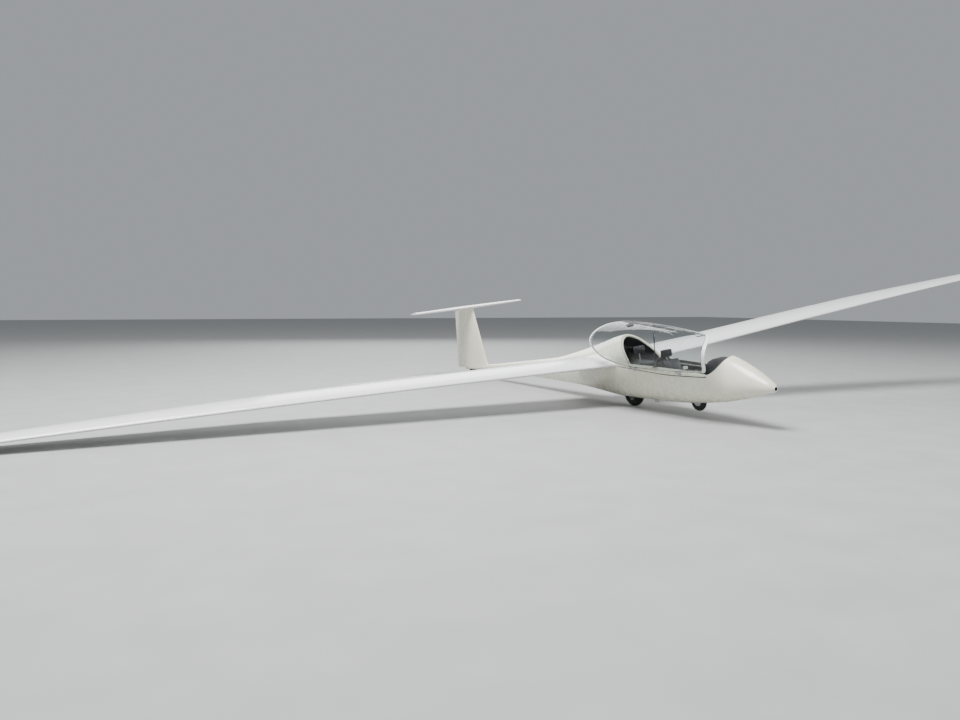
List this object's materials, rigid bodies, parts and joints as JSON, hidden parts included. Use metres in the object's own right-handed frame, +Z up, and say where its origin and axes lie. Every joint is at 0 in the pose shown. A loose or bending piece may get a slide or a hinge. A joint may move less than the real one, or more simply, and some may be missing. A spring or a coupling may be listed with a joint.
{
  "type": "two-seat sailplane glider with T-tail and open canopy",
  "caption": "Two-seat training glider parked on its main wheel, tail skid and starboard wing tip, with a one-piece canopy hinged open to starboard.",
  "frame": {"origin": "middle of the bounding box in X and Y, on the ground", "axes": "+X to the port wing tip, -Y towards the nose, +Z up; the craft leans on its starboard wing tip"},
  "size_m": [18.0694, 8.6174, 2.2656],
  "materials": {
    "cream_gelcoat": "gloss",
    "white_gelcoat": "gloss",
    "canopy_acrylic": "clear",
    "tyre": "matte",
    "skid_rubber": "matte",
    "dark_fabric": "woven",
    "grey_laminate": "matte",
    "black_panel": "matte",
    "steel": "satin"
  },
  "bodies": {
    "airframe": {"fuselage_pod": "cream_gelcoat", "nose_vent_ring": "white_gelcoat", "front_canopy_hinge_lug": "steel", "rear_canopy_hinge_lug": "steel", "front_seat_shell": "grey_laminate", "front_seat_cushion": "dark_fabric", "front_back_cushion": "dark_fabric", "rear_seat_shell": "grey_laminate", "rear_seat_cushion": "dark_fabric", "rear_back_cushion": "dark_fabric", "front_headrest": "dark_fabric", "rear_headrest": "dark_fabric", "front_instrument_panel": "black_panel", "front_panel_column": "grey_laminate", "rear_instrument_panel": "black_panel", "rear_panel_column": "grey_laminate", "instrument_cover": "grey_laminate", "front_stick": "black_panel", "rear_stick": "black_panel", "front_pedals": "steel", "rear_pedals": "steel", "wing_port": "white_gelcoat", "tip_skid_port": "skid_rubber", "wing_starboard": "white_gelcoat", "tip_skid_starboard": "skid_rubber", "tail_boom": "cream_gelcoat", "fin": "cream_gelcoat", "tailplane": "white_gelcoat", "tail_skid": "skid_rubber", "main_wheel_frame": "steel", "nose_wheel_frame": "steel", "tow_hook": "steel"},
    "canopy": {"canopy_frame": "white_gelcoat", "canopy_glazing": "canopy_acrylic", "front_canopy_hinge_leaf": "steel", "rear_canopy_hinge_leaf": "steel"},
    "main_wheel": {"main_wheel_tyre": "tyre", "main_wheel_hub": "steel"},
    "nose_wheel": {"nose_wheel_tyre": "tyre", "nose_wheel_hub": "steel"},
    "rudder": {"rudder": "cream_gelcoat"},
    "elevator": {"elevator_port": "white_gelcoat", "elevator_starboard": "white_gelcoat"},
    "flap_port": {"flap_port": "white_gelcoat"},
    "flap_starboard": {"flap_starboard": "white_gelcoat"},
    "aileron_port": {"aileron_port": "white_gelcoat"},
    "aileron_starboard": {"aileron_starboard": "white_gelcoat"},
    "airbrake_port": {"airbrake_port": "white_gelcoat"},
    "airbrake_starboard": {"airbrake_starboard": "white_gelcoat"}
  },
  "joints": [
    {"name": "canopy_hinge", "type": "hinge", "parent": "airframe", "child": "canopy", "pos_m": [-0.26131, -2.49635, 0.60778], "axis": [0.0344, -0.9994, -0.0101], "range_deg": [-79, 0]},
    {"name": "main_wheel_spin", "type": "hinge", "parent": "airframe", "child": "main_wheel", "pos_m": [0.11586, -1.61635, 0.18862], "axis": [0.9927, 0, 0.1203], "continuous": true},
    {"name": "nose_wheel_spin", "type": "hinge", "parent": "airframe", "child": "nose_wheel", "pos_m": [0.11225, -2.98135, 0.2184], "axis": [0.9927, 0, 0.1203], "continuous": true},
    {"name": "rudder_hinge", "type": "hinge", "parent": "airframe", "child": "rudder", "pos_m": [0.04969, 3.93265, 0.73462], "axis": [-0.1203, -0.0186, 0.9926], "range_deg": [-30, 30]},
    {"name": "elevator_hinge", "type": "hinge", "parent": "airframe", "child": "elevator", "pos_m": [-0.03437, 3.72865, 1.42815], "axis": [-0.9927, 0, -0.1203], "range_deg": [-20, 20]},
    {"name": "flap_port_hinge", "type": "hinge", "parent": "airframe", "child": "flap_port", "pos_m": [2.8983, -0.9062, 1.16751], "axis": [-0.9816, 0.0621, -0.1805], "range_deg": [-7, 12]},
    {"name": "flap_starboard_hinge", "type": "hinge", "parent": "airframe", "child": "flap_starboard", "pos_m": [-2.81986, -0.9062, 0.47447], "axis": [-0.9963, -0.0621, -0.0593], "range_deg": [-7, 12]},
    {"name": "aileron_port_hinge", "type": "hinge", "parent": "airframe", "child": "aileron_port", "pos_m": [7.05941, -1.3272, 1.90821], "axis": [-0.9763, 0.1379, -0.1666], "range_deg": [-18, 18]},
    {"name": "aileron_starboard_hinge", "type": "hinge", "parent": "airframe", "child": "aileron_starboard", "pos_m": [-7.03743, -1.3272, 0.19969], "axis": [-0.9879, -0.1379, -0.0715], "range_deg": [-18, 18]},
    {"name": "airbrake_port_slide", "type": "slide", "parent": "airframe", "child": "airbrake_port", "axis": [-0.1203, 0, 0.9927], "range_m": [0, 0.08]},
    {"name": "airbrake_starboard_slide", "type": "slide", "parent": "airframe", "child": "airbrake_starboard", "axis": [-0.1203, 0, 0.9927], "range_m": [0, 0.08]}
  ],
  "couplings": [
    {"joint": "flap_starboard_hinge", "follows": "flap_port_hinge", "ratio": 1},
    {"joint": "aileron_starboard_hinge", "follows": "aileron_port_hinge", "ratio": -1},
    {"joint": "airbrake_starboard_slide", "follows": "airbrake_port_slide", "ratio": 1}
  ]
}
